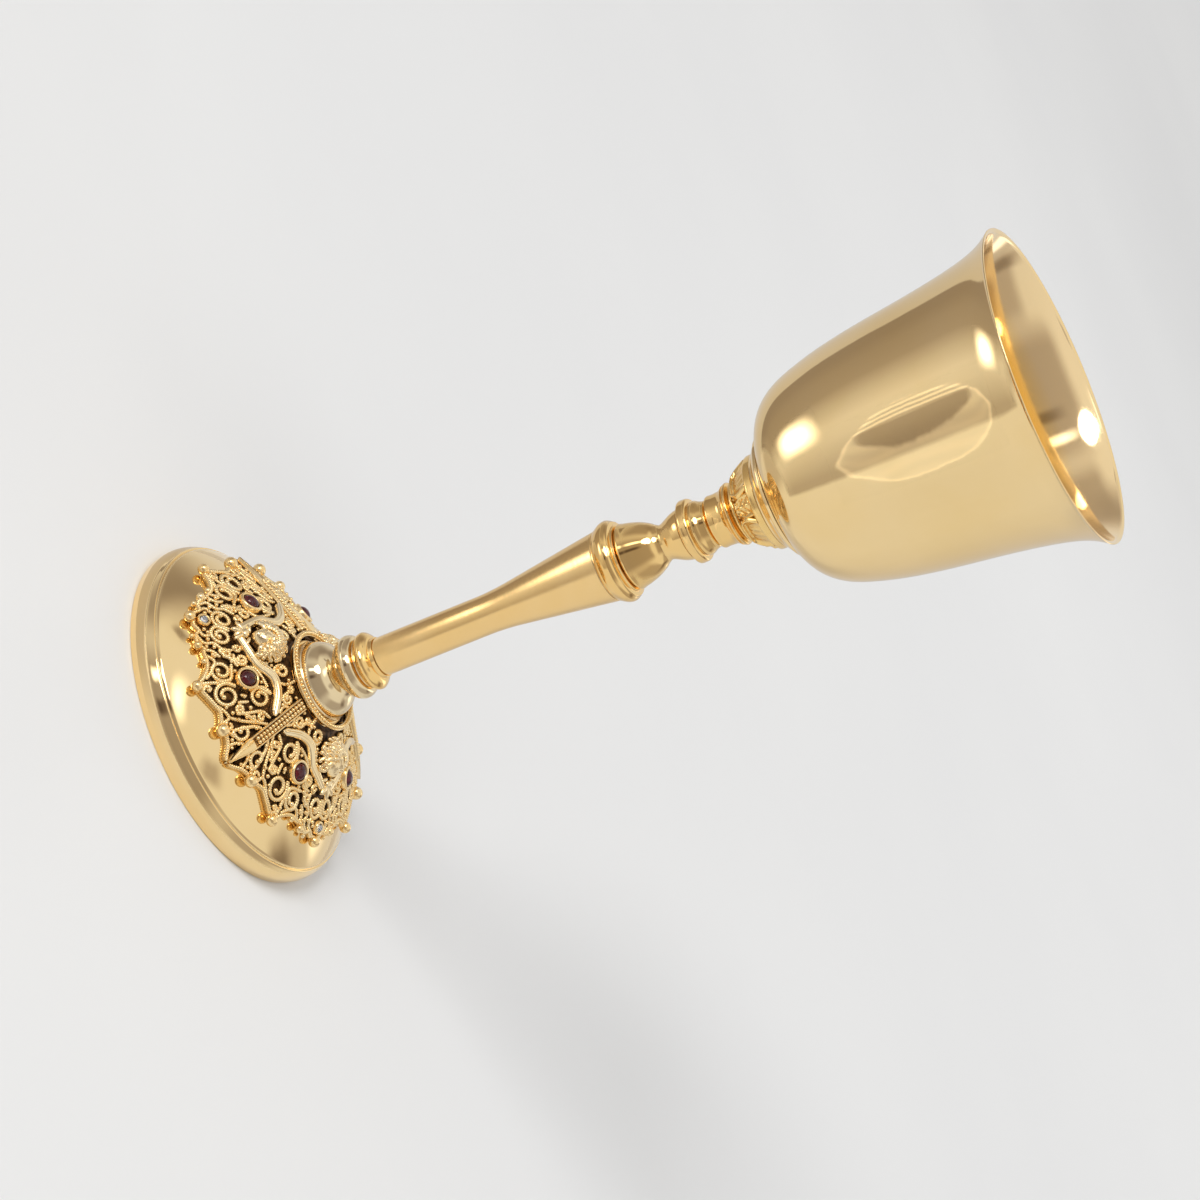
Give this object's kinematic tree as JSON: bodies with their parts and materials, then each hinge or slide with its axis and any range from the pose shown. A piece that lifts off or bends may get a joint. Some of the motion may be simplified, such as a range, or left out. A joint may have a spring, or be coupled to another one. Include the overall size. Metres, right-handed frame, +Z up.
{
  "type": "chalice",
  "caption": "Gilt altar chalice with a flared cup, turned stem with knop, leaf calyx and a domed foot under a pierced overlay set with garnets.",
  "frame": {"origin": "centre of the plane that the foot rests on", "axes": "+Z up along the stem, from the foot to the lip; +X lies on the foot's plane, 75 degrees round from a beaded rib"},
  "size_m": [0.0946, 0.0946, 0.2401],
  "materials": {
    "polished_gold": "gilt, mirror polished",
    "pale_gold": "pale gilt, polished",
    "satin_gold": "gilt, satin turned",
    "cast_gold": "gilt casting with darkened recesses",
    "steel": "plain turned",
    "garnet": "polished cabochon",
    "crystal": "polished"
  },
  "bodies": {
    "stand": {"foot_shell": "polished_gold", "filigree_panel_1": "cast_gold", "relief_figure_1": "cast_gold", "beaded_rib_1": "cast_gold", "garnet_1a": "garnet", "garnet_1b": "garnet", "crystal_1": "crystal", "filigree_panel_2": "cast_gold", "relief_figure_2": "cast_gold", "beaded_rib_2": "cast_gold", "garnet_2a": "garnet", "garnet_2b": "garnet", "crystal_2": "crystal", "filigree_panel_3": "cast_gold", "relief_figure_3": "cast_gold", "beaded_rib_3": "cast_gold", "garnet_3a": "garnet", "garnet_3b": "garnet", "crystal_3": "crystal", "bead_ring": "cast_gold", "seat_ring": "polished_gold", "collar": "pale_gold", "torus_ring": "pale_gold", "bevelled_ring": "polished_gold", "stem_shaft": "satin_gold", "knop_ring": "polished_gold", "knop_body": "polished_gold", "knop_spool": "polished_gold", "knop_band": "polished_gold", "calyx": "polished_gold", "cup_dish": "polished_gold", "tie_rod": "steel", "foot_washer": "steel", "foot_nut": "steel"},
    "cup_boss": {"cup_boss": "steel"},
    "cup": {"cup_bowl": "polished_gold"}
  },
  "joints": [
    {"name": "cup_rise", "type": "slide", "parent": "stand", "child": "cup_boss", "axis": [0, 0, 1], "range_m": [0, 0.006]},
    {"name": "cup_turn", "type": "hinge", "parent": "cup_boss", "child": "cup", "pos_m": [0, 0, 0.1662], "axis": [0, 0, 1], "range_deg": [0, 2160]}
  ],
  "couplings": [
    {"joint": "cup_rise", "follows": "cup_turn", "m_per_rad": 0.000159}
  ]
}
